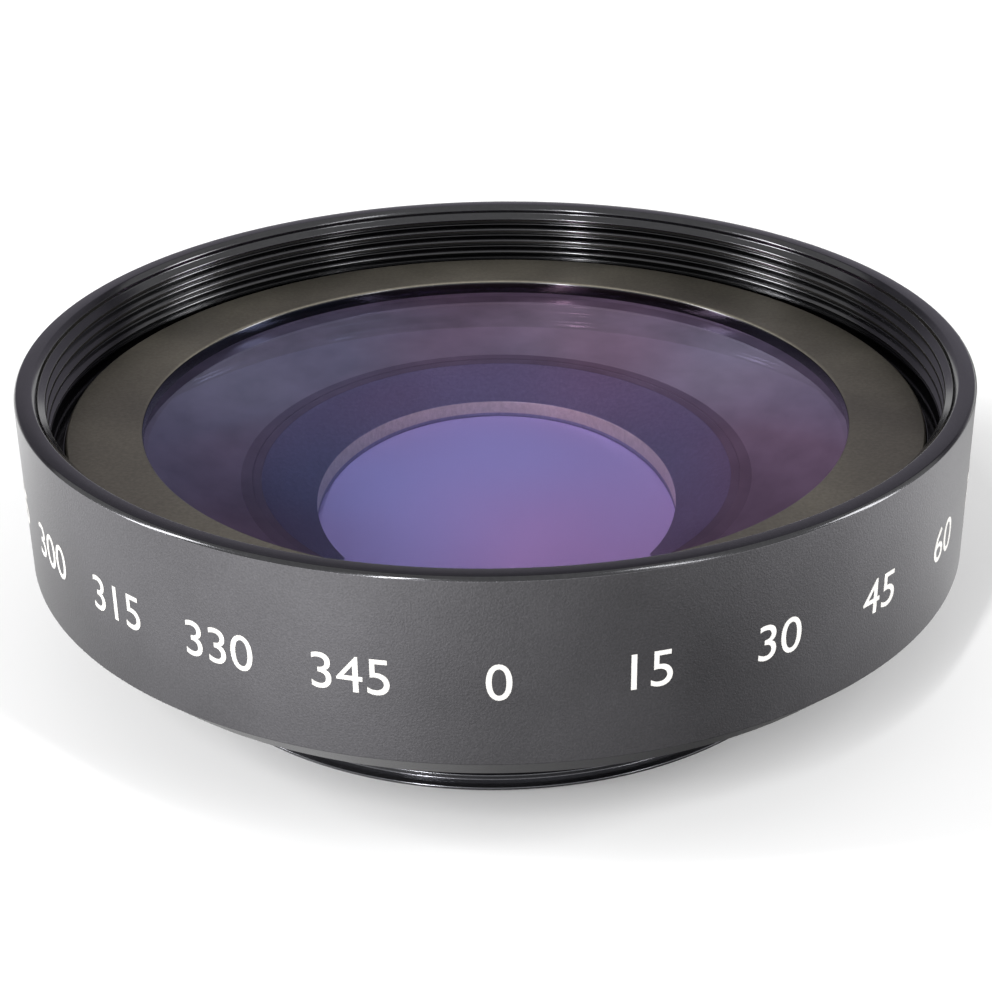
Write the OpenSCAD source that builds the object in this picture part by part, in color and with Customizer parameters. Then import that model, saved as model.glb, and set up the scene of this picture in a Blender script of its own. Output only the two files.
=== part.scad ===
// Low-profile wide-angle conversion lens for a small camera, front upwards.
// It stands on the rear end of its mounting thread, and the optical axis is Z.
// All lengths are in millimetres. Heights are counted from the rear end.

/* [Mount ring] */
// Nominal diameter of the rear mounting thread
mount_d = 37; // [30:0.5:46]
// Pitch of every thread that shows
pitch = 0.75; // [0.6:0.05:0.9]
// Height from the rear end to the underside of the barrel
mount_h = 4.8; // [3.9:0.1:7]
// Thickness of the ring, from the crests of its thread to its bore
mount_wall = 2.5; // [2:0.1:3.5]
// Width of the flange beyond the neck
flange_w = 1.9; // [1.2:0.1:2.6]
// Height of the flange against the barrel
flange_h = 0.8; // [0.5:0.1:1.2]
// Thickness of the ring's neck, inside the barrel floor
neck_wall = 1.4; // [1:0.1:2]
// Height of that neck
neck_h = 1.2; // [0.8:0.1:1.6]
// Width of the lip that the rear cell screws up against
lip_w = 1.1; // [0.8:0.1:1.3]
// Height of that lip
lip_h = 0.8; // [0.5:0.1:1]

/* [Barrel] */
// Thickness of the barrel floor, from the underside to the front glass
floor_t = 3.8; // [3:0.1:6]
// Thickness of the wall outside the filter thread
rim_wall = 1.2; // [0.8:0.1:4]
// Width of the slope round the foot of the barrel
foot_w = 1.8; // [0.4:0.1:2.4]
// Height of the slope round the foot of the barrel
foot_h = 1.7; // [0.4:0.1:4]
// Width of the small bevel on the outer edge of the rim
rim_edge = 0.15; // [0.05:0.05:0.3]
// Depth from the rim down to the face of the front retaining ring
filter_depth = 3.25; // [2.8:0.05:6]
// Width of the ledge between the filter thread and the front retaining ring
ledge_w = 1.1; // [0.8:0.1:2]

/* [Front retaining ring] */
// Width of the ring beyond the edge of the glass
ring_w = 2.8; // [2:0.1:4]
// Height of the opening's wall above the glass
ring_lip_h = 0.8; // [0.6:0.05:1.4]
// Height that the ring stands above the ledge round it
ring_proud = 0.3; // [0.2:0.05:0.5]
// Turns of thread that hold the ring
ring_turns = 2; // [1:1:2]
// Width of the glass edge under the ring
hold_w = 1.25; // [0.8:0.05:2]

/* [Front glass] */
// Width from the mount ring's neck to the edge of the glass
seat_w = 3.1; // [2.5:0.1:5]
// Width of the flat face that the glass rests on
rest_w = 1.2; // [0.8:0.1:1.8]
// Radius of curvature of the front face, flat enough to stay below the filter thread
front_radius = 250; // [150:10:500]
// Edge height of the front element, from its seat to the ring's lip
front_edge_h = 3.45; // [2.7:0.05:4.5]
// Gap between the end of the blackened cone and the lip of the mount ring
tail_gap = 1.5; // [0.6:0.1:2]
// Width of the flat end of the cone, round the cemented face
tail_rim_w = 0.6; // [0.4:0.1:1]
// Depth of the hollow that takes the inner element
hollow_h = 7.2; // [5:0.1:8]
// Thickness of the cement
cement_t = 0.03; // [0.02:0.01:0.05]

/* [Inner glass] */
// Depth of the inner element's rear edge behind the end of the cone
inner_step = 0.2; // [0.1:0.05:0.4]
// Width of the ground rim round the inner element's rear face
inner_rim_w = 0.4; // [0.3:0.1:0.8]
// Radius of curvature of the hollow rear face
inner_radius = 400; // [100:10:600]

/* [Rear glass] */
// Radius of curvature of both faces of the rear element
rear_radius = 120; // [80:5:130]
// Thickness of the rear element at the edge of its clear opening
rear_edge_t = 1.2; // [0.9:0.05:1.6]
// Width of the edge that the cell and the rear retaining ring hold
rear_hold_w = 1; // [0.8:0.1:1.4]

/* [Rear cell] */
// Height of the cell's back above the rear end
rear_inset = 0.3; // [0.1:0.05:0.6]
// Width of the black cone round the recess
cone_w = 3; // [2:0.1:4]
// Height of that cone
cone_h = 0.75; // [0.5:0.05:1]
// Height of the recess wall above the rear element
recess_h = 0.6; // [0.4:0.05:0.8]
// Height of the rear retaining ring
lock_h = 0.75; // [0.6:0.05:0.9]
// Width of the rear retaining ring
lock_w = 1.6; // [1.3:0.1:2.2]
// Width of each spanner slot in the rear retaining ring
slot_w = 1.2; // [0.8:0.1:1.6]
// Depth of each spanner slot
slot_depth = 0.4; // [0.2:0.05:0.5]

/* [Fits] */
// Radial clearance between parts that screw or drop together
clearance = 0.05; // [0.03:0.01:0.08]

/* [Hidden] */
$fn = 180;
// Spherical glass faces are so shallow that they need finer steps
glass_steps = 400;

// Sixty degree threads with flat crests and roots
thread_h = 0.54 * pitch;
flank_h = thread_h * tan(30);
groove_land = 0.25 * pitch;
groove_h = groove_land + 2 * flank_h;
// Plain stretches of wall beside a thread, and the small bevels on turned edges
run_out = 0.1;
filter_run_out = 0.85;
edge_bevel = 0.2;
filter_lead = 0.25;
relief_depth = 0.7;
relief_h = 0.6;
// How far a cutting shape passes the face that it cuts
overlap = 1;

// Heights, from the rear end up to the front glass
cell_z = rear_inset;
lock_z = cell_z + run_out;
rear_back_z = lock_z + lock_h;
rear_front_z = rear_back_z + rear_edge_t;
recess_z = rear_front_z + recess_h;
inner_z = recess_z + cone_h;
tail_z = inner_z + inner_step;

// Heights, from the mount ring up to the rim
flange_z = mount_h - flange_h;
relief_z = flange_z - relief_h;
mount_turns = 1 + floor((relief_z - 2 * run_out - groove_h) / pitch);
mount_thread_z = run_out + mount_turns * pitch;
neck_z = mount_h + neck_h;
seat_z = mount_h + floor_t;
contact_z = seat_z + front_edge_h;
ring_z = contact_z + ring_lip_h;
rim_z = ring_z + filter_depth;
ledge_z = ring_z - ring_proud;
ring_thread_z = ledge_z - run_out;
skirt_z = ring_thread_z - ring_turns * pitch - run_out - edge_bevel;
shelf_z = skirt_z - edge_bevel;
filter_thread_z = rim_z - 2 * filter_lead;
filter_turns = 1 + floor((filter_thread_z - ledge_z - filter_run_out - groove_h) / pitch);

// Radii, from the mounting thread inwards
mount_r = mount_d / 2;
cell_r = mount_r - mount_wall;
lip_r = cell_r - lip_w;
tail_r = lip_r - tail_gap;
cement_r = tail_r - tail_rim_w;
inner_r = cement_r - 2 * clearance;
cone_r = inner_r - inner_rim_w;
rear_open_r = cone_r - cone_w;
rear_r = rear_open_r + rear_hold_w;
lock_r = rear_open_r + lock_w;

// Radii, from the mount ring's neck outwards
neck_r = cell_r + neck_wall;
flange_r = neck_r + flange_w;
front_r = neck_r + seat_w;
ring_open_r = front_r - hold_w;
rest_r = front_r - rest_w;
pocket_r = front_r + 2 * clearance;
ring_r = pocket_r + ring_w;
filter_r = ring_r + ledge_w;
barrel_r = filter_r + rim_wall;

// The mount ring's throat opens in line with the glass's cone and stays clear of it
cone_slope = (rest_r - tail_r) / (seat_z - tail_z);
throat_gap = 4 * clearance;
throat_w = max(edge_bevel, tail_r + (neck_z - tail_z) * cone_slope + throat_gap - cell_r);

// The cemented face passes through the end of the cone and has the stated depth
cement_radius = (cement_r * cement_r + hollow_h * hollow_h) / (2 * hollow_h);

// Depth of a spherical face of the given radius at the distance r from the axis
function sag(radius, r) = radius - sqrt(radius * radius - r * r);

// The grooves of a thread as outline points that run down from z, one groove a turn
function grooves(wall_r, groove_r, z, turns) = [
    for (i = [0:turns - 1], p = [
        [wall_r, 0],
        [groove_r, flank_h],
        [groove_r, flank_h + groove_land],
        [wall_r, groove_h]
    ]) [p[0], z - i * pitch - p[1]]
];

function backwards(points) = [for (i = [len(points) - 1:-1:0]) points[i]];

module turned(outline) {
    rotate_extrude() polygon(outline);
}

// A ball whose highest point lies on the axis at z
module ball_under(z, radius) {
    translate([0, 0, z - radius]) sphere(r = radius, $fn = glass_steps);
}

// Outer shell, with the filter thread, the retaining ring's thread and the glass seat
module main_barrel() {
    crest_r = filter_r - thread_h;
    bore_r = neck_r + clearance;
    color([0.16, 0.16, 0.17]) turned(concat(
        [
            [bore_r, mount_h],
            [barrel_r - foot_w, mount_h],
            [barrel_r, mount_h + foot_h],
            [barrel_r, rim_z - rim_edge],
            [barrel_r - rim_edge, rim_z],
            [filter_r + filter_lead, rim_z],
            [filter_r, rim_z - filter_lead]
        ],
        grooves(filter_r, crest_r, filter_thread_z, filter_turns),
        [
            [filter_r, ledge_z],
            [ring_r, ledge_z]
        ],
        grooves(ring_r, ring_r - thread_h, ring_thread_z, ring_turns),
        [
            [ring_r, shelf_z],
            [pocket_r, shelf_z],
            [pocket_r, seat_z],
            [rest_r + 2 * clearance, seat_z],
            [bore_r, neck_z + run_out]
        ]
    ));
}

// Threaded ring that clamps the front glass and shows as the flat black face inside the rim
module front_retaining_ring() {
    outer_r = ring_r - clearance;
    skirt_r = pocket_r + clearance;
    thread = grooves(outer_r, outer_r - thread_h, ring_thread_z, ring_turns);
    color([0.33, 0.32, 0.29]) turned(concat(
        [
            [ring_open_r, contact_z],
            [skirt_r, contact_z],
            [skirt_r, skirt_z],
            [outer_r - edge_bevel, skirt_z],
            [outer_r, skirt_z + edge_bevel]
        ],
        backwards(thread),
        [
            [outer_r, ring_z - edge_bevel],
            [outer_r - edge_bevel, ring_z],
            [ring_open_r + edge_bevel, ring_z],
            [ring_open_r, ring_z - edge_bevel]
        ]
    ));
}

// Large glass: a shallow front face, a seat, a blackened cone and a deep hollow at the back
module front_element() {
    apex_z = contact_z + sag(front_radius, ring_open_r);
    color([0.38, 0.31, 0.45]) difference() {
        intersection() {
            ball_under(apex_z, front_radius);
            turned([
                [0, tail_z],
                [tail_r, tail_z],
                [rest_r, seat_z],
                [front_r, seat_z],
                [front_r, apex_z],
                [0, apex_z]
            ]);
        }
        ball_under(tail_z + hollow_h, cement_radius);
    }
}

// Second glass, cemented into the hollow of the first
module inner_element() {
    dome_z = tail_z + hollow_h - cement_t;
    hollow_z = inner_z + sag(inner_radius, cone_r);
    color([0.34, 0.34, 0.50]) difference() {
        intersection() {
            ball_under(dome_z, cement_radius - cement_t);
            translate([0, 0, inner_z]) cylinder(r = inner_r, h = dome_z - inner_z);
        }
        ball_under(hollow_z, inner_radius);
    }
}

// Black cell with the light cone, the recess and the seat of the rear glass
module rear_cell() {
    outer_r = cell_r - clearance;
    seat_r = rear_r + clearance;
    thread_r = lock_r + clearance;
    color([0.13, 0.13, 0.15]) turned([
        [rear_open_r, rear_front_z],
        [seat_r, rear_front_z],
        [seat_r, rear_back_z],
        [thread_r, rear_back_z],
        [thread_r, cell_z],
        [outer_r - edge_bevel, cell_z],
        [outer_r, cell_z + edge_bevel],
        [outer_r, inner_z],
        [cone_r, inner_z],
        [rear_open_r, recess_z]
    ]);
}

// Rear glass, curved alike on both faces
module rear_element() {
    front_apex_z = rear_front_z + sag(rear_radius, rear_open_r);
    back_apex_z = rear_back_z - sag(rear_radius, rear_open_r);
    color([0.44, 0.44, 0.63]) intersection() {
        ball_under(front_apex_z, rear_radius);
        mirror([0, 0, 1]) ball_under(-back_apex_z, rear_radius);
        translate([0, 0, back_apex_z]) cylinder(r = rear_r, h = front_apex_z - back_apex_z);
    }
}

// Threaded ring that holds the rear glass, with two slots for a spanner
module rear_retaining_ring() {
    color([0.15, 0.15, 0.16]) difference() {
        turned([
            [rear_open_r, lock_z + edge_bevel],
            [rear_open_r + edge_bevel, lock_z],
            [lock_r, lock_z],
            [lock_r, rear_back_z],
            [rear_open_r, rear_back_z]
        ]);
        translate([-lock_r - overlap, -slot_w / 2, lock_z - overlap])
            cube([2 * (lock_r + overlap), slot_w, overlap + slot_depth]);
    }
}

// Ring that screws into a camera's filter thread and carries the rear cell
module mount_ring() {
    bore_r = cell_r;
    root_r = mount_r - thread_h;
    color([0.14, 0.14, 0.15]) turned(concat(
        [
            [bore_r, 0],
            [mount_r - run_out, 0],
            [mount_r, run_out]
        ],
        backwards(grooves(mount_r, root_r, mount_thread_z, mount_turns)),
        [
            [mount_r, relief_z],
            [mount_r - relief_depth, relief_z],
            [mount_r - relief_depth, flange_z],
            [flange_r, flange_z],
            [flange_r, mount_h],
            [neck_r, mount_h],
            [neck_r, neck_z],
            [bore_r + throat_w, neck_z],
            [bore_r, neck_z - throat_w / cone_slope],
            [bore_r, inner_z + lip_h],
            [lip_r, inner_z + lip_h],
            [lip_r, inner_z],
            [bore_r, inner_z]
        ]
    ));
}

main_barrel();
front_retaining_ring();
front_element();
inner_element();
rear_cell();
rear_element();
rear_retaining_ring();
mount_ring();
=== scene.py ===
import math

import bmesh
import bpy
from bpy.props import FloatProperty, FloatVectorProperty, IntProperty, PointerProperty, StringProperty
from mathutils import Matrix, Vector


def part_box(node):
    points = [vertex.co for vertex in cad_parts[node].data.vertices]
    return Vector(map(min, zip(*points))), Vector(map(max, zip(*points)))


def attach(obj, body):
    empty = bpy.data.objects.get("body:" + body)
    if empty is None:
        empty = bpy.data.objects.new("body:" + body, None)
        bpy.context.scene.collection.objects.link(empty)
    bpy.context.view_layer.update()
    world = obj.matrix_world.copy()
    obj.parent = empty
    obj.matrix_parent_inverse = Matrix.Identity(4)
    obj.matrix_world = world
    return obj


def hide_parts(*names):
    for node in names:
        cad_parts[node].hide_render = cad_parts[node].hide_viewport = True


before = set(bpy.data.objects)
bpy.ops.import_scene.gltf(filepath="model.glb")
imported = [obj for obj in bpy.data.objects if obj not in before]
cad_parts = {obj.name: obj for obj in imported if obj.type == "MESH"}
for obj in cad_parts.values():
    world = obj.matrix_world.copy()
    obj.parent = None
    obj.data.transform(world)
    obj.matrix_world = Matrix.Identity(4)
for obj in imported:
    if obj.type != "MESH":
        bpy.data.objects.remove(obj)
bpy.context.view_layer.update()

bl_info = {
    "name": "Wide-angle Conversion Lens",
    "version": (1, 0, 0),
    "blender": (4, 5, 0),
    "location": "View3D > Sidebar > Lens",
    "description": "Builds the lens, its finishes and a plain studio",
    "category": "Object",
}

# The CAD model's box, read in metres; a millimetre in metres
MM = 0.001


def level(node, top):
    """The lowest or highest level of a CAD node, in millimetres."""
    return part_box(node)[1 if top else 0].z / MM


def radius(node):
    """The largest radius of a CAD node, in millimetres."""
    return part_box(node)[1].x / MM


# Heights and radii that the CAD nodes give, in millimetres
RIM_Z = level("main_barrel", True)
MOUNT_H = level("main_barrel", False)
RING_Z = level("front_retaining_ring", True)
TAIL_Z = level("front_element", False)
INNER_Z = level("inner_element", False)
CELL_Z = level("rear_cell", False)
REAR_BACK_Z = level("rear_retaining_ring", True)
NECK_Z = level("mount_ring", True)
BARREL_R = radius("main_barrel")
FRONT_R = radius("front_element")
INNER_R = radius("inner_element")
REAR_R = radius("rear_element")
LOCK_R = radius("rear_retaining_ring")
FLANGE_R = radius("mount_ring")


def length(label, text, value, **limits):
    """A size in millimetres, shown as a plain number."""
    return FloatProperty(name=label, description=text, default=value, min=0.0, precision=3, **limits)


def colour(label, text, value):
    """A colour typed as an sRGB hex value."""
    return StringProperty(name=label, description=text, default=value)


class LensSizes(bpy.types.PropertyGroup):
    """Sizes of the lens in millimetres."""
    steps: IntProperty(name="Steps round", description="Faces round each turned piece", default=256, min=48)
    rounding: length("Rounding", "Width of the worn edge on turned metal", 0.06)
    pitch: length("Thread pitch", "Pitch of the threads", 0.75)
    filter_r: length("Filter radius", "Wall radius behind the filter thread", 24.5)
    ring_r: length("Ring radius", "Radius of the front retaining ring's thread", 23.4)
    opening_r: length("Opening radius", "Clear radius inside the front retaining ring", 19.25)
    lip_h: length("Lip height", "Height of the opening's wall above the glass", 0.8)
    foot_w: length("Foot width", "Width of the slope round the foot", 1.8)
    foot_h: length("Foot height", "Height of the slope round the foot", 1.7)
    front_radius: length("Front curve", "Radius of curvature of the front glass", 250.0)
    shine_radius: length("Shine curve", "Radius that the front glass bends light with", 90.0)
    seat_z: length("Glass seat", "Height of the seat of the front glass", 8.6)
    rest_w: length("Rest width", "Width of the flat face that the front glass rests on", 1.2)
    hollow_h: length("Hollow depth", "Depth of the hollow that takes the inner glass", 7.2)
    inner_radius: length("Hollow curve", "Radius of curvature of the hollow rear face", 400.0)
    rear_radius: length("Rear curve", "Radius of curvature of the rear glass", 120.0)
    clear_r: length("Clear radius", "Clear radius of the rear glass", 9.3)
    cone_r: length("Cone radius", "Large radius of the light cone in the rear cell", 12.3)
    mount_r: length("Mount radius", "Crest radius of the rear thread", 18.5)
    bore_r: length("Mount bore", "Radius of the mount ring's bore", 16.0)
    neck_r: length("Neck radius", "Radius of the mount ring's neck", 17.4)
    number_h: length("Number height", "Height of the engraved numbers", 1.95)
    number_z: length("Number level", "Height of the numbers' feet", 9.95)
    number_step: IntProperty(name="Number step", description="Degrees between numbers", default=15, min=5)


class LensColours(bpy.types.PropertyGroup):
    """Colours of the finishes as sRGB hex values."""
    barrel: colour("Barrel", "Black anodised and bead-blasted barrel", "#5f5e61")
    thread: colour("Thread", "Gloss black of the turned threads", "#38383a")
    # Colour of the painted light mixed into the rear glass for its violet glow
    violet: colour("Violet haze", "Haze of the coated rear glass", "#d2c2ec")
    ring: colour("Ring", "Matte black anodised retaining ring", "#6b675e")
    cell: colour("Cell", "Matte black anodised cell", "#2c2b30")
    # Also the colour of the painted shadow at the foot of the recess wall in the rear cell
    cone: colour("Light cone", "Satin black anodised cone round the rear glass", "#757286")
    mount: colour("Mount", "Gloss black anodised mount ring", "#66666a")
    paint: colour("Paint", "White paint in the numbers", "#e2e0dc")
    ground: colour("Blackened glass", "Ink on the ground faces of the glass", "#655a68")
    floor: colour("Floor", "Pale studio floor", "#f2f2f2")


class StudioSettings(bpy.types.PropertyGroup):
    """Camera and light of the studio."""
    camera_place: FloatVectorProperty(name="Camera", description="Place of the camera", unit="LENGTH",
                                      default=(-0.0000257, -0.1001, 0.05748), size=3)
    pitch: FloatProperty(name="Pitch", description="How far the camera looks down", unit="ROTATION", default=0.4658)
    roll: FloatProperty(name="Roll", description="Roll of the camera", unit="ROTATION", default=-0.0135)
    focal: FloatProperty(name="Focal length", description="Focal length in millimetres", default=71.97)
    card: FloatProperty(name="Card", description="Brightness of the card that the glass mirrors", default=0.3)
    desk: FloatProperty(name="Desk", description="Brightness of the desk that the wall mirrors", default=2.0)
    fill: FloatProperty(name="Fill", description="Strength of the room's light", default=0.5)


def linear(hex_value):
    """An sRGB hex value as a linear colour."""
    parts = [int(hex_value[i:i + 2], 16) / 255 for i in (1, 3, 5)]
    return tuple(c / 12.92 if c <= 0.04045 else ((c + 0.055) / 1.055) ** 2.4 for c in parts) + (1.0,)


# Shapes


def sag(curve, r):
    """Depth of a spherical face at the distance r from the axis."""
    return curve - math.sqrt(curve * curve - r * r)


def cap(curve, apex, inner, outer, parts, way=-1):
    """Points of a spherical face from the inner to the outer radius, bulging up with way -1."""
    radii = [inner + (outer - inner) * i / parts for i in range(parts + 1)]
    return [(r, apex + way * sag(curve, r)) for r in radii]


def cement_curve(s):
    """Radius of the cemented face, from its rim and its depth."""
    return ((INNER_R + 0.1) ** 2 + s.hollow_h ** 2) / (2 * s.hollow_h)


def grooves(wall_r, groove_r, top, turns, pitch):
    """Points of a sixty degree thread that runs down from top, one groove a turn."""
    flank = 0.54 * pitch * math.tan(math.radians(30))
    land = 0.25 * pitch
    section = [(wall_r, 0), (groove_r, flank), (groove_r, flank + land), (wall_r, 2 * flank + land)]
    return [(r, top - i * pitch - drop) for i in range(turns) for r, drop in section]


def spun(outline, steps, rounding=0.0, closed=True):
    """A mesh spun about the optical axis from an outline of (radius, level) points in millimetres."""
    bm = bmesh.new()
    verts = [bm.verts.new((r * MM, 0, z * MM)) for r, z in outline]
    pairs = list(zip(verts, verts[1:] + verts[:1])) if closed else list(zip(verts, verts[1:]))
    for a, b in pairs:
        bm.edges.new((a, b))
    if rounding:
        bmesh.ops.bevel(bm, geom=verts, offset=rounding * MM, offset_type="OFFSET", affect="VERTICES",
                        segments=2, profile=0.5, material=-1, clamp_overlap=True)
    bmesh.ops.spin(bm, geom=bm.verts[:] + bm.edges[:], cent=(0, 0, 0), axis=(0, 0, 1), dvec=(0, 0, 0),
                   angle=2 * math.pi, steps=steps, use_merge=True)
    bmesh.ops.remove_doubles(bm, verts=bm.verts[:], dist=1e-7)
    bmesh.ops.recalc_face_normals(bm, faces=bm.faces[:])
    return bm


def piece(name, bm, materials, node, choose=None, weighted=True, sharp=40):
    """Makes a finished piece from a mesh, gives it its finish and lets it stand for a CAD node."""
    mesh = bpy.data.meshes.new(name)
    if choose:
        for face in bm.faces:
            place = face.calc_center_median() / MM
            face.material_index = choose(Vector((place.x, place.y)).length, place.z, face.normal.z)
    bm.to_mesh(mesh)
    bm.free()
    mesh.shade_smooth()
    mesh.set_sharp_from_angle(angle=math.radians(sharp))
    for material in materials:
        mesh.materials.append(material)
    obj = bpy.data.objects.new(name, mesh)
    bpy.context.scene.collection.objects.link(obj)
    if weighted:
        smooth = obj.modifiers.new("Even normals", "WEIGHTED_NORMAL")
        smooth.keep_sharp = True
        smooth.weight = 100
    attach(obj, "root")
    if node:
        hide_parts(node)
    return obj


# Finishes


def add(tree, kind, inputs=None, **settings):
    """Adds a node with its settings, and sets or links each of its inputs."""
    node = tree.nodes.new(kind)
    for name, value in settings.items():
        setattr(node, name, value)
    for name, value in (inputs or {}).items():
        if isinstance(value, bpy.types.NodeSocket):
            tree.links.new(value, node.inputs[name])
        else:
            node.inputs[name].default_value = value
    return node


def new_material(name):
    material = bpy.data.materials.new(name)
    material.use_nodes = True
    material.node_tree.nodes.clear()
    return material, material.node_tree


def finish_with(tree, shader):
    add(tree, "ShaderNodeOutputMaterial", {"Surface": shader})


def anodised(name, hex_value, rough, grain_mm, grain_depth, turned_mm=0.0, turned_depth=0.0, metal=1.0, coat=0.0):
    """Anodised aluminium: fine bead-blast grain, and turning marks where the tool left them."""
    material, tree = new_material(name)
    place = add(tree, "ShaderNodeTexCoord").outputs["Object"]
    grain = add(tree, "ShaderNodeTexNoise", {"Vector": place, "Scale": 1 / (grain_mm * MM), "Detail": 2.0,
                                             "Roughness": 0.6})
    cloud = add(tree, "ShaderNodeTexNoise", {"Vector": place, "Scale": 1 / (9 * MM), "Detail": 3.0})
    tone = add(tree, "ShaderNodeMapRange", {"Value": cloud.outputs["Fac"], "From Min": 0.3, "From Max": 0.7,
                                            "To Min": 0.86, "To Max": 1.12})
    speck = add(tree, "ShaderNodeMapRange", {"Value": grain.outputs["Fac"], "From Min": 0.35, "From Max": 0.75,
                                             "To Min": 0.9, "To Max": 1.15})
    both = add(tree, "ShaderNodeMath", {0: tone.outputs["Result"], 1: speck.outputs["Result"]},
               operation="MULTIPLY")
    base = add(tree, "ShaderNodeVectorMath", {0: linear(hex_value)[:3], 3: both.outputs[0]}, operation="SCALE")
    roughness = add(tree, "ShaderNodeMapRange", {"Value": cloud.outputs["Fac"], "From Min": 0.3, "From Max": 0.7,
                                                 "To Min": rough * 0.9, "To Max": rough * 1.12})
    bump = add(tree, "ShaderNodeBump", {"Height": grain.outputs["Fac"], "Strength": 1.0,
                                        "Distance": grain_depth * MM})
    if turned_depth:
        flat = add(tree, "ShaderNodeVectorMath", {0: place, 1: (1, 1, 0)}, operation="MULTIPLY")
        away = add(tree, "ShaderNodeVectorMath", {0: flat.outputs[0]}, operation="LENGTH")
        split = add(tree, "ShaderNodeSeparateXYZ", {0: place})
        total = add(tree, "ShaderNodeMath", {0: away.outputs["Value"], 1: split.outputs["Z"]}, operation="ADD")
        marks = add(tree, "ShaderNodeTexNoise", {"W": total.outputs[0], "Scale": 1 / (turned_mm * MM),
                                                 "Detail": 2.0}, noise_dimensions="1D")
        bump = add(tree, "ShaderNodeBump", {"Height": marks.outputs["Fac"], "Strength": 1.0,
                                            "Distance": turned_depth * MM, "Normal": bump.outputs["Normal"]})
    shader = add(tree, "ShaderNodeBsdfPrincipled", {
        "Base Color": base.outputs[0], "Metallic": metal, "Roughness": roughness.outputs["Result"],
        "Normal": bump.outputs["Normal"], "Coat Weight": coat, "Coat Roughness": 0.12})
    finish_with(tree, shader.outputs[0])
    return material


def number_paint(hex_value):
    """Cellulose paint wiped into the engraving: white, matte and a little uneven."""
    material, tree = new_material("number_paint")
    place = add(tree, "ShaderNodeTexCoord").outputs["Object"]
    cloud = add(tree, "ShaderNodeTexNoise", {"Vector": place, "Scale": 1 / (0.35 * MM), "Detail": 2.0})
    tone = add(tree, "ShaderNodeMapRange", {"Value": cloud.outputs["Fac"], "From Min": 0.3, "From Max": 0.7,
                                            "To Min": 0.88, "To Max": 1.0})
    base = add(tree, "ShaderNodeVectorMath", {0: linear(hex_value)[:3], 3: tone.outputs["Result"]},
               operation="SCALE")
    bump = add(tree, "ShaderNodeBump", {"Height": cloud.outputs["Fac"], "Distance": 0.01 * MM})
    shader = add(tree, "ShaderNodeBsdfPrincipled", {"Base Color": base.outputs[0], "Roughness": 0.55,
                                                    "Normal": bump.outputs["Normal"]})
    finish_with(tree, shader.outputs[0])
    return material


def coated_glass(name, tint, blush, low, high, shine, bend_mm=0.0, painted_light_share=0.0, painted_light_hex="#000000", way=1):
    """Polished crown glass under a vacuum-coated film, whose mirror image runs from blue to purple.
    With a bend, light passes as it does through a face of that radius. The painted light share mixes in a flat
    diffuse colour as painted light, for the glow that shows through the coated glass."""
    material, tree = new_material(name)
    place = add(tree, "ShaderNodeTexCoord").outputs["Object"]
    cloud = add(tree, "ShaderNodeTexNoise", {"Vector": place, "Scale": 1 / (16 * MM), "Detail": 1.0})
    split = add(tree, "ShaderNodeSeparateXYZ", {0: place})
    lean = add(tree, "ShaderNodeMath", {0: split.outputs["X"], 1: 6.0, 2: cloud.outputs["Fac"]},
               operation="MULTIPLY_ADD")
    drift = add(tree, "ShaderNodeMapRange", {"Value": lean.outputs[0], "From Min": 0.33, "From Max": 0.64})
    film = add(tree, "ShaderNodeMix", {0: drift.outputs["Result"], 6: linear(low), 7: linear(high)},
               data_type="RGBA")
    stain = add(tree, "ShaderNodeMix", {0: drift.outputs["Result"], 6: linear(tint), 7: linear(blush)},
                data_type="RGBA")
    mirror = add(tree, "ShaderNodeFresnel", {"IOR": 1.52})
    amount = add(tree, "ShaderNodeMath", {0: mirror.outputs[0], 1: shine}, operation="MULTIPLY", use_clamp=True)
    through = add(tree, "ShaderNodeBsdfRefraction", {"Color": stain.outputs[2], "Roughness": 0.0, "IOR": 1.52})
    if bend_mm:
        lean = add(tree, "ShaderNodeVectorMath", {0: place, 1: (1, 1, 0)}, operation="MULTIPLY")
        lean = add(tree, "ShaderNodeVectorMath", {0: lean.outputs[0], 3: 1 / (bend_mm * MM)}, operation="SCALE")
        lean = add(tree, "ShaderNodeVectorMath", {0: lean.outputs[0], 1: (0, 0, way)}, operation="ADD")
        lean = add(tree, "ShaderNodeVectorMath", {0: lean.outputs[0]}, operation="NORMALIZE")
        tree.links.new(lean.outputs[0], through.inputs["Normal"])
    gloss = add(tree, "ShaderNodeBsdfAnisotropic", {"Color": film.outputs[2], "Roughness": 0.02})
    glass = add(tree, "ShaderNodeMixShader", {0: amount.outputs[0], 1: through.outputs[0], 2: gloss.outputs[0]})
    # Painted light: a diffuse colour mixed into the glass stands in for the glow seen through it
    if painted_light_share:
        painted_light_bsdf = add(tree, "ShaderNodeBsdfDiffuse", {"Color": linear(painted_light_hex)})
        glass = add(tree, "ShaderNodeMixShader", {0: painted_light_share, 1: glass.outputs[0], 2: painted_light_bsdf.outputs[0]})
    clear = add(tree, "ShaderNodeBsdfTransparent", {"Color": linear(tint)})
    path = add(tree, "ShaderNodeLightPath")
    shader = add(tree, "ShaderNodeMixShader", {0: path.outputs["Is Shadow Ray"], 1: glass.outputs[0],
                                               2: clear.outputs[0]})
    finish_with(tree, shader.outputs[0])
    return material


def cement():
    """Optical cement between two polished faces: it bends no light, so only a trace of it shows."""
    material, tree = new_material("optical_cement")
    place = add(tree, "ShaderNodeTexCoord").outputs["Object"]
    cloud = add(tree, "ShaderNodeTexNoise", {"Vector": place, "Scale": 1 / (6 * MM), "Detail": 1.0})
    tint = add(tree, "ShaderNodeMix", {0: cloud.outputs["Fac"], 6: (0.985, 0.985, 0.995, 1),
                                       7: (0.97, 0.97, 0.985, 1)}, data_type="RGBA")
    clear = add(tree, "ShaderNodeBsdfTransparent", {"Color": tint.outputs[2]})
    finish_with(tree, clear.outputs[0])
    return material


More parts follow.
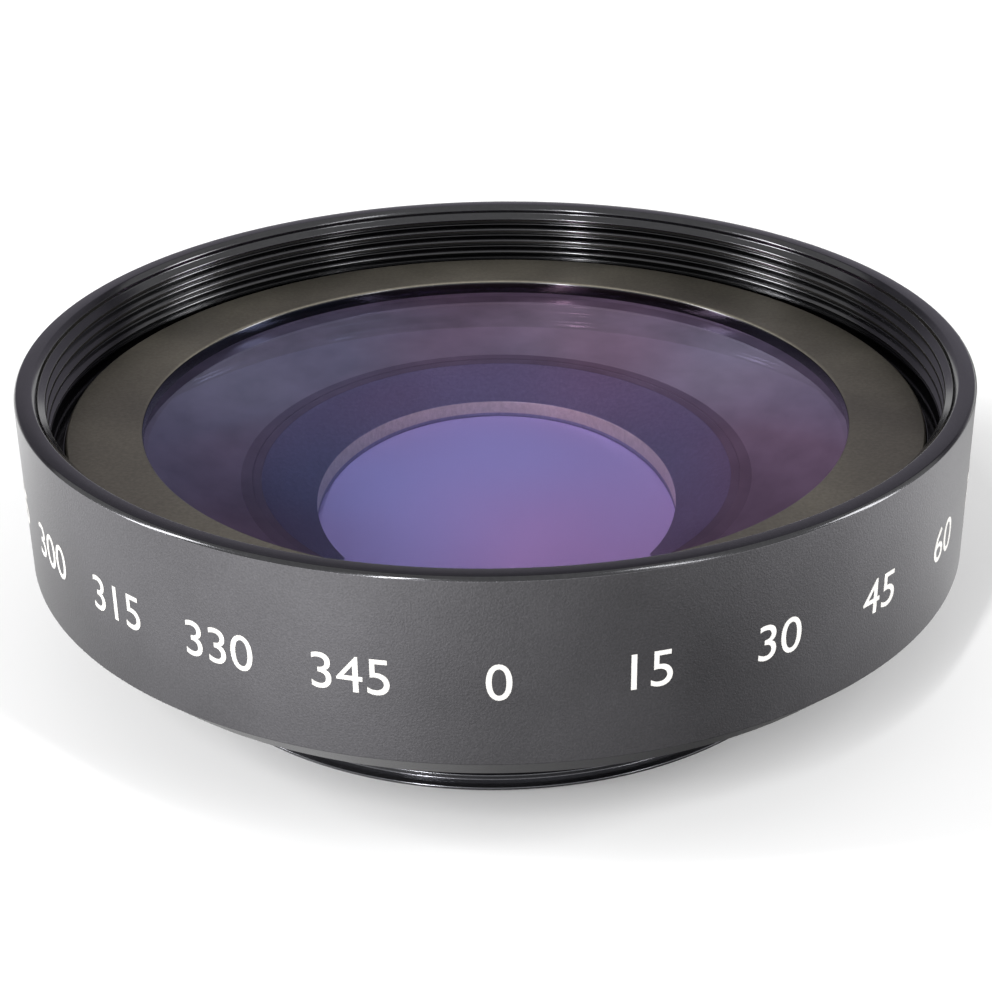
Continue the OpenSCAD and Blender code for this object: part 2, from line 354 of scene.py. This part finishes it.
def blackened(hex_value):
    """Ground glass under black ink: dark and matte, seen through the glass."""
    material, tree = new_material("blackened_glass")
    place = add(tree, "ShaderNodeTexCoord").outputs["Object"]
    cloud = add(tree, "ShaderNodeTexNoise", {"Vector": place, "Scale": 1 / (2.5 * MM), "Detail": 4.0})
    tone = add(tree, "ShaderNodeMapRange", {"Value": cloud.outputs["Fac"], "From Min": 0.3, "From Max": 0.7,
                                            "To Min": 0.8, "To Max": 1.2})
    base = add(tree, "ShaderNodeVectorMath", {0: linear(hex_value)[:3], 3: tone.outputs["Result"]},
               operation="SCALE")
    shader = add(tree, "ShaderNodeBsdfPrincipled", {"Base Color": base.outputs[0], "Roughness": 0.5})
    finish_with(tree, shader.outputs[0])
    return material


# Pieces


class LENS_OT_barrel(bpy.types.Operator):
    """Turn the outer barrel with its filter thread"""
    bl_idname = "lens.barrel"
    bl_label = "Barrel"

    def execute(self, context):
        s, c = context.scene.lens_sizes, context.scene.lens_colours
        crest = s.filter_r - 0.54 * s.pitch
        ledge = RING_Z - 0.3
        bore = s.neck_r + 0.05
        wall = BARREL_R - 0.02
        seat = s.seat_z - 0.01
        outline = [(bore, MOUNT_H), (wall - s.foot_w, MOUNT_H), (wall, MOUNT_H + s.foot_h),
                   (wall, RIM_Z - 0.15), (wall - 0.15, RIM_Z), (s.filter_r + 0.25, RIM_Z),
                   (s.filter_r, RIM_Z - 0.25)]
        outline += grooves(s.filter_r, crest, RIM_Z - 0.5, 4, s.pitch)
        outline += [(s.filter_r, ledge), (s.ring_r, ledge)]
        outline += grooves(s.ring_r, s.ring_r - 0.54 * s.pitch, ledge - 0.1, 2, s.pitch)
        outline += [(s.ring_r, ledge - 2.0), (FRONT_R + 0.1, ledge - 2.0), (FRONT_R + 0.1, seat),
                    (FRONT_R - s.rest_w + 0.1, seat), (bore, NECK_Z + 0.1)]
        blasted = anodised("bead_blasted_anodised_aluminium", c.barrel, 0.33, 0.1, 0.02, metal=0.9)
        turned = anodised("turned_gloss_anodised_aluminium", c.thread, 0.17, 0.2, 0.001, 0.08, 0.0008, coat=0.4)
        inside = s.filter_r + 0.02
        piece("barrel", spun(outline, s.steps, s.rounding), [blasted, turned], "main_barrel",
              lambda r, z, up: int(r < inside and z > s.seat_z or z > RIM_Z - 0.16))
        return {"FINISHED"}


class LENS_OT_front_ring(bpy.types.Operator):
    """Turn the ring that clamps the front glass"""
    bl_idname = "lens.front_ring"
    bl_label = "Front Retaining Ring"

    def execute(self, context):
        s, c = context.scene.lens_sizes, context.scene.lens_colours
        outer, skirt, contact = s.ring_r - 0.05, FRONT_R + 0.15, RING_Z - s.lip_h
        low = RING_Z - 2.1
        outline = [(s.opening_r, contact), (skirt, contact), (skirt, low), (outer - 0.2, low),
                   (outer, low + 0.2)]
        outline += grooves(outer, outer - 0.54 * s.pitch, RING_Z - 0.4, 2, s.pitch)[::-1]
        outline += [(outer, RING_Z - 0.1), (outer - 0.1, RING_Z), (s.opening_r + 0.12, RING_Z),
                    (s.opening_r, RING_Z - 0.12)]
        face = anodised("matte_anodised_aluminium", c.ring, 0.5, 0.2, 0.01, 0.09, 0.0015)
        wall = anodised("turned_anodised_aluminium", c.thread, 0.18, 0.2, 0.001, 0.12, 0.0008, coat=0.3)
        opening = s.opening_r + 0.03
        piece("front_ring", spun(outline, s.steps, 0.05), [face, wall], "front_retaining_ring",
              lambda r, z, up: int(r < opening))
        return {"FINISHED"}


class LENS_OT_front_glass(bpy.types.Operator):
    """Grind and coat the large front glass"""
    bl_idname = "lens.front_glass"
    bl_label = "Front Glass"

    def execute(self, context):
        s, c = context.scene.lens_sizes, context.scene.lens_colours
        contact = RING_Z - s.lip_h
        apex = contact + sag(s.front_radius, s.opening_r)
        tail_r = INNER_R + 0.7
        cement_r = INNER_R + 0.1
        dome_apex = TAIL_Z + s.hollow_h
        curve = cement_curve(s)
        front = cap(s.front_radius, apex, 0, FRONT_R - 0.02, 40)
        dome = cap(curve, dome_apex, 0, cement_r, 60)
        outline = front + [(FRONT_R - 0.02, s.seat_z), (FRONT_R - s.rest_w, s.seat_z), (tail_r, TAIL_Z)]
        outline += dome[::-1]
        coat = coated_glass("purple_coated_crown_glass", "#e6eaf6", "#f6e2ec", "#a0a8d2", "#c89fbd", 0.9,
                            s.shine_radius)
        faces = [coat, blackened(c.ground), cement()]

        def choose(r, z, up):
            if up > 0.9 and z > contact - 0.4:
                return 0
            away = math.hypot(r, z - (dome_apex - curve))
            return 2 if abs(away - curve) < 0.05 else 1
        piece("front_glass", spun(outline, s.steps, closed=False), faces, "front_element",
              choose, weighted=False, sharp=25)
        return {"FINISHED"}


class LENS_OT_inner_glass(bpy.types.Operator):
    """Grind the glass that is cemented into the hollow of the first"""
    bl_idname = "lens.inner_glass"
    bl_label = "Inner Glass"

    def execute(self, context):
        s, c = context.scene.lens_sizes, context.scene.lens_colours
        curve = cement_curve(s) - 0.03
        apex = TAIL_Z + s.hollow_h - 0.03
        hollow = INNER_Z + sag(s.inner_radius, s.cone_r)
        edge_r = INNER_R + 0.09
        dome = cap(curve, apex, 0, edge_r, 60)
        rear = cap(s.inner_radius, hollow, 0, s.cone_r, 20)
        outline = dome + [(edge_r, INNER_Z)] + rear[::-1]
        coat = coated_glass("blue_coated_flint_glass", "#f4f6ff", "#fff4fb", "#9098d0", "#a090c8", 0.25)
        faces = [coat, blackened(c.ground), cement()]

        def choose(r, z, up):
            if r < s.cone_r and z < hollow + 0.05:
                return 0
            return 2 if up > 0.3 else 1
        piece("inner_glass", spun(outline, s.steps, closed=False), faces, "inner_element",
              choose, weighted=False, sharp=25)
        return {"FINISHED"}


class LENS_OT_rear_cell(bpy.types.Operator):
    """Turn the black cell with the light cone"""
    bl_idname = "lens.rear_cell"
    bl_label = "Rear Cell"

    def execute(self, context):
        s, c = context.scene.lens_sizes, context.scene.lens_colours
        outer = s.bore_r - 0.05
        rear_front = REAR_BACK_Z + 1.2
        # Painted shadow: the recess wall's foot, 0.14 mm high, takes the darker satin finish
        shade = rear_front + 0.14
        outline = [(s.clear_r, rear_front), (REAR_R + 0.05, rear_front), (REAR_R + 0.05, REAR_BACK_Z),
                   (LOCK_R + 0.05, REAR_BACK_Z), (LOCK_R + 0.05, CELL_Z), (outer - 0.2, CELL_Z),
                   (outer, CELL_Z + 0.2), (outer, INNER_Z - 0.01), (s.cone_r, INNER_Z - 0.01),
                   (s.clear_r, rear_front + 0.6), (s.clear_r, shade)]
        matte = anodised("matte_cell_aluminium", c.cell, 0.45, 0.2, 0.006)
        satin_and_painted_shadow = anodised("satin_cone_and_painted_shadow_aluminium", c.cone, 0.5, 0.2, 0.004, 0.15, 0.002, metal=0.4)
        wall = anodised("bright_turned_recess", "#a89a90", 0.3, 0.2, 0.003, 0.1, 0.002, metal=0.1)
        recess = s.clear_r + 0.02
        # Below the shade level the recess wall gets the satin finish as painted shadow
        piece("rear_cell", spun(outline, s.steps, 0.04), [matte, wall, satin_and_painted_shadow], "rear_cell",
              lambda r, z, up: (1 if z > shade else 2) if r < recess else 2 if r < s.cone_r and up > 0.5 else 0)
        return {"FINISHED"}


class LENS_OT_rear_glass(bpy.types.Operator):
    """Grind and coat the rear glass"""
    bl_idname = "lens.rear_glass"
    bl_label = "Rear Glass"

    def execute(self, context):
        s, c = context.scene.lens_sizes, context.scene.lens_colours
        front_apex = REAR_BACK_Z + 1.2 + sag(s.rear_radius, s.clear_r)
        back_apex = REAR_BACK_Z - sag(s.rear_radius, s.clear_r)
        flat = 1e5
        outline = cap(s.rear_radius, front_apex, 0, REAR_R, 30)
        outline += cap(s.rear_radius, back_apex, 0, REAR_R, 30, 1)[::-1]
        # The rear glass gets a 0.85 share of painted violet light for its glow
        coat = coated_glass("violet_coated_crown_glass", "#dcdaf6", "#e6daf0", "#8c9ad0", "#a890d0", 0.6,
                            flat, 0.85, c.violet)
        back = coated_glass("violet_coated_back", "#d0c8f8", "#dcc8f4", "#7c8cd0", "#9a80d0", 0.3, flat, way=-1)
        edge = REAR_R - 0.01
        piece("rear_glass", spun(outline, s.steps, closed=False), [coat, blackened(c.ground), back],
              "rear_element", lambda r, z, up: 1 if r > edge else 0 if up > 0 else 2,
              weighted=False, sharp=25)
        return {"FINISHED"}


class LENS_OT_rear_ring(bpy.types.Operator):
    """Give the slotted ring that holds the rear glass its finish"""
    bl_idname = "lens.rear_ring"
    bl_label = "Rear Retaining Ring"

    def execute(self, context):
        c = context.scene.lens_colours
        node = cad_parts["rear_retaining_ring"]
        finish = anodised("matte_ring_aluminium", c.cell, 0.4, 0.2, 0.004, 0.1, 0.002)
        node.data.materials.clear()
        node.data.materials.append(finish)
        return {"FINISHED"}


class LENS_OT_mount(bpy.types.Operator):
    """Turn the ring with the rear mounting thread"""
    bl_idname = "lens.mount"
    bl_label = "Mount Ring"

    def execute(self, context):
        s, c = context.scene.lens_sizes, context.scene.lens_colours
        root = s.mount_r - 0.54 * s.pitch
        flange_z = MOUNT_H - 0.8
        relief_z = flange_z - 0.6
        outline = [(s.bore_r, 0), (s.mount_r - 0.1, 0), (s.mount_r, 0.1)]
        outline += grooves(s.mount_r, root, 0.1 + 4 * s.pitch, 4, s.pitch)[::-1]
        outline += [(s.mount_r, relief_z), (s.mount_r - 0.7, relief_z), (s.mount_r - 0.7, flange_z),
                    (FLANGE_R, flange_z), (FLANGE_R, MOUNT_H), (s.neck_r, MOUNT_H), (s.neck_r, NECK_Z),
                    (s.bore_r + 0.236, NECK_Z), (s.bore_r, NECK_Z - 0.188), (s.bore_r, INNER_Z + 0.8), (s.bore_r - 1.1, INNER_Z + 0.8),
                    (s.bore_r - 1.1, INNER_Z), (s.bore_r, INNER_Z)]
        finish = anodised("gloss_anodised_aluminium", c.mount, 0.2, 0.2, 0.002, 0.1, 0.002)
        piece("mount_ring", spun(outline, s.steps, 0.04), [finish], "mount_ring")
        return {"FINISHED"}


class LENS_OT_numbers(bpy.types.Operator):
    """Engrave plain numbers of degrees round the barrel"""
    bl_idname = "lens.numbers"
    bl_label = "Numbers"

    def execute(self, context):
        s, c = context.scene.lens_sizes, context.scene.lens_colours
        paint = number_paint(c.paint)
        whole = bmesh.new()
        wall = BARREL_R - 0.005
        for degrees in range(0, 360, s.number_step):
            curve = bpy.data.curves.new("number", "FONT")
            curve.body = str(degrees)
            curve.align_x = "CENTER"
            curve.size = s.number_h / 0.729
            curve.extrude = 0.06
            curve.resolution_u = 6
            flat = bpy.data.objects.new("number", curve)
            bpy.context.scene.collection.objects.link(flat)
            bpy.context.view_layer.update()
            mesh = bpy.data.meshes.new_from_object(flat.evaluated_get(context.evaluated_depsgraph_get()))
            bpy.data.objects.remove(flat)
            bm = bmesh.new()
            bm.from_mesh(mesh)
            bpy.data.meshes.remove(mesh)
            bmesh.ops.remove_doubles(bm, verts=bm.verts[:], dist=1e-4)
            for i in range(-12, 13):
                bmesh.ops.bisect_plane(bm, geom=bm.verts[:] + bm.edges[:] + bm.faces[:], dist=1e-5,
                                       plane_co=(i * 0.25, 0, 0), plane_no=(1, 0, 0))
            turn = math.radians(degrees - 90)
            for v in bm.verts:
                angle = turn + v.co.x / BARREL_R
                r = wall - 0.06 + v.co.z
                v.co = Vector((r * math.cos(angle), r * math.sin(angle), s.number_z + v.co.y)) * MM
            mesh = bpy.data.meshes.new("number")
            bm.to_mesh(mesh)
            bm.free()
            whole.from_mesh(mesh)
            bpy.data.meshes.remove(mesh)
        bmesh.ops.recalc_face_normals(whole, faces=whole.faces[:])
        piece("numbers", whole, [paint], None, weighted=False, sharp=30)
        return {"FINISHED"}


# Studio


def softbox(name, azimuth, elevation, away, size, power, tall=None):
    """A rectangular light that faces the lens from an azimuth, clockwise from the camera's side."""
    a, e = math.radians(azimuth), math.radians(elevation)
    place = Vector((math.sin(a) * math.cos(e), -math.cos(a) * math.cos(e), math.sin(e))) * away
    light = bpy.data.lights.new(name, "AREA")
    light.shape = "RECTANGLE"
    light.size = size
    light.size_y = tall or size
    light.energy = power
    obj = bpy.data.objects.new(name, light)
    obj.location = place
    obj.rotation_euler = (Vector((0, 0, 0.012)) - place).to_track_quat("-Z", "Y").to_euler()
    bpy.context.scene.collection.objects.link(obj)
    return obj


def reflector(name, bm, kinds, glow):
    """A card that shows only as a mirror image. Its glow is built by the given function."""
    mesh = bpy.data.meshes.new(name)
    bm.to_mesh(mesh)
    bm.free()
    card = bpy.data.objects.new(name, mesh)
    bpy.context.scene.collection.objects.link(card)
    card.visible_camera = card.visible_diffuse = card.visible_shadow = False
    card.visible_transmission = "transmission" in kinds
    material, tree = new_material(name)
    place = add(tree, "ShaderNodeTexCoord").outputs["Object"]
    finish_with(tree, add(tree, "ShaderNodeEmission", glow(tree, place)).outputs[0])
    mesh.materials.append(material)


def grey_card(brightness):
    """A grey card behind the lens, mirrored by the glass."""
    def glow(tree, place):
        cloud = add(tree, "ShaderNodeTexNoise", {"Vector": place, "Scale": 5.0, "Detail": 1.0})
        tone = add(tree, "ShaderNodeMapRange", {"Value": cloud.outputs["Fac"], "From Min": 0.3, "From Max": 0.7,
                                                "To Min": brightness * 0.5, "To Max": brightness * 1.5})
        return {"Color": (0.9, 0.85, 1.0, 1), "Strength": tone.outputs["Result"]}
    bm = bmesh.new()
    bmesh.ops.create_grid(bm, x_segments=1, y_segments=1, size=0.5)
    bmesh.ops.transform(bm, verts=bm.verts[:], matrix=Matrix.Rotation(math.radians(58), 4, "X"))
    bmesh.ops.translate(bm, verts=bm.verts[:], vec=(0, 0.42, 0.46))
    reflector("grey_card", bm, ("transmission",), glow)


# Painted light and shade of the desk round the lens, as the wall mirrors it: share of a turn from -X, and grey
# value
DESK_PAINTED_LIGHT = ((0.0, 0.72), (0.083, 0.8), (0.175, 1.0), (0.25, 0.38), (0.333, 0.14), (0.42, 0.5), (0.505, 0.85),
        (0.614, 0.15), (0.7, 0.0), (0.735, 0.3), (0.755, 1.0), (0.8, 0.95), (0.894, 0.83), (1.0, 0.72))


def desk(brightness):
    """A glowing card in place of the desk, seen only in the barrel's wall as a mirror image, with light and shade
    painted on: lighter at the left, and the lens's own shadow painted as a darker ring round the lens.
    """
    def glow(tree, place):
        turn = add(tree, "ShaderNodeTexGradient", {"Vector": place}, gradient_type="RADIAL")
        ramp = add(tree, "ShaderNodeValToRGB", {"Fac": turn.outputs["Fac"]})
        stops = ramp.color_ramp.elements
        for i, (share, grey) in enumerate(DESK_PAINTED_LIGHT):
            stop = stops[i] if i < 2 else stops.new(share)
            stop.position = share
            stop.color = (grey, grey, grey, 1)
        # Painted shadow: the lens's own shadow on the desk, darker from 52 mm in to 23 mm from the axis
        away = add(tree, "ShaderNodeVectorMath", {0: place}, operation="LENGTH")
        shade = add(tree, "ShaderNodeMapRange", {"Value": away.outputs["Value"], "From Min": 23 * MM,
                                                 "From Max": 52 * MM, "To Min": brightness * 0.34,
                                                 "To Max": brightness * 1.08})
        return {"Color": ramp.outputs["Color"], "Strength": shade.outputs["Result"]}
    bm = bmesh.new()
    bmesh.ops.create_circle(bm, cap_ends=True, radius=0.25, segments=96)
    bmesh.ops.translate(bm, verts=bm.verts[:], vec=(0, 0, -0.01 * MM))
    reflector("desk", bm, (), glow)


class LENS_OT_stage(bpy.types.Operator):
    """Set the floor, the lights and the camera"""
    bl_idname = "lens.stage"
    bl_label = "Studio"

    def execute(self, context):
        scene = context.scene
        s, c = scene.lens_studio, scene.lens_colours
        bm = bmesh.new()
        bmesh.ops.create_circle(bm, cap_ends=True, radius=0.7, segments=96)
        bmesh.ops.translate(bm, verts=bm.verts[:], vec=(0, 0, -0.02 * MM))
        mesh = bpy.data.meshes.new("floor")
        bm.to_mesh(mesh)
        bm.free()
        floor = bpy.data.objects.new("floor", mesh)
        scene.collection.objects.link(floor)
        material, tree = new_material("painted_floor")
        place = add(tree, "ShaderNodeTexCoord").outputs["Object"]
        cloud = add(tree, "ShaderNodeTexNoise", {"Vector": place, "Scale": 4.0, "Detail": 2.0})
        tone = add(tree, "ShaderNodeMapRange", {"Value": cloud.outputs["Fac"], "To Min": 0.99, "To Max": 1.01})
        base = add(tree, "ShaderNodeVectorMath", {0: linear(c.floor)[:3], 3: tone.outputs["Result"]},
                   operation="SCALE")
        shader = add(tree, "ShaderNodeBsdfPrincipled", {"Base Color": base.outputs[0], "Roughness": 0.8,
                                                        "Specular IOR Level": 0.2})
        finish_with(tree, shader.outputs[0])
        mesh.materials.append(material)

        world = bpy.data.worlds.new("studio")
        world.use_nodes = True
        tree = world.node_tree
        tree.nodes.clear()
        path = add(tree, "ShaderNodeLightPath")
        seen = add(tree, "ShaderNodeMath", {0: path.outputs["Is Camera Ray"], 1: path.outputs["Is Glossy Ray"]},
                   operation="ADD", use_clamp=True)
        seen = add(tree, "ShaderNodeMath", {0: seen.outputs[0], 1: path.outputs["Is Transmission Ray"]},
                   operation="ADD", use_clamp=True)
        strength = add(tree, "ShaderNodeMapRange", {"Value": seen.outputs[0], "To Min": s.fill, "To Max": 1.0})
        shell = add(tree, "ShaderNodeBackground", {"Color": (1, 1, 1, 1), "Strength": strength.outputs["Result"]})
        add(tree, "ShaderNodeOutputWorld", {"Surface": shell.outputs[0]})
        scene.world = world

        grey_card(s.card)
        desk(s.desk)
        softbox("key", -25, 32, 0.9, 0.04, 5.5, 0.6)
        softbox("left", -84, 24, 0.9, 0.12, 6.5, 0.6)
        softbox("right", 47, 42, 0.9, 0.06, 2.0, 0.6)
        softbox("side", 92, 20, 0.9, 0.16, 4.0, 0.5)

        data = bpy.data.cameras.new("camera")
        data.lens = s.focal
        data.sensor_width = 36.0
        data.clip_start = 0.005
        camera = bpy.data.objects.new("camera", data)
        scene.collection.objects.link(camera)
        forward = Vector((0, math.cos(s.pitch), -math.sin(s.pitch)))
        up = Vector((0, math.sin(s.pitch), math.cos(s.pitch)))
        right = math.cos(s.roll) * Vector((1, 0, 0)) + math.sin(s.roll) * up
        above = -math.sin(s.roll) * Vector((1, 0, 0)) + math.cos(s.roll) * up
        turn = Matrix((right, above, -forward)).transposed().to_4x4()
        camera.matrix_world = Matrix.Translation(Vector(s.camera_place)) @ turn
        scene.camera = camera
        scene.view_settings.view_transform = "Standard"
        return {"FINISHED"}


OPERATORS = (LENS_OT_barrel, LENS_OT_front_ring, LENS_OT_front_glass, LENS_OT_inner_glass,
             LENS_OT_rear_cell, LENS_OT_rear_glass, LENS_OT_rear_ring, LENS_OT_mount, LENS_OT_numbers,
             LENS_OT_stage)


class LENS_PT_panel(bpy.types.Panel):
    """Lists the pieces of the lens and their sizes"""
    bl_idname = "LENS_PT_panel"
    bl_label = "Lens"
    bl_space_type = "VIEW_3D"
    bl_region_type = "UI"
    bl_category = "Lens"

    def draw(self, context):
        for operator in OPERATORS:
            self.layout.operator(operator.bl_idname)
        for group in (context.scene.lens_sizes, context.scene.lens_colours, context.scene.lens_studio):
            for name in group.__annotations__:
                self.layout.prop(group, name)


GROUPS = (("lens_sizes", LensSizes), ("lens_colours", LensColours), ("lens_studio", StudioSettings))


def register():
    for name, group in GROUPS:
        bpy.utils.register_class(group)
        setattr(bpy.types.Scene, name, PointerProperty(type=group))
    for kind in OPERATORS + (LENS_PT_panel,):
        bpy.utils.register_class(kind)


def unregister():
    for kind in (LENS_PT_panel,) + OPERATORS[::-1]:
        bpy.utils.unregister_class(kind)
    for name, group in GROUPS[::-1]:
        delattr(bpy.types.Scene, name)
        bpy.utils.unregister_class(group)


def main():
    register()
    for operator in OPERATORS:
        family, name = operator.bl_idname.split(".")
        getattr(getattr(bpy.ops, family), name)()


if __name__ == "__main__":
    main()
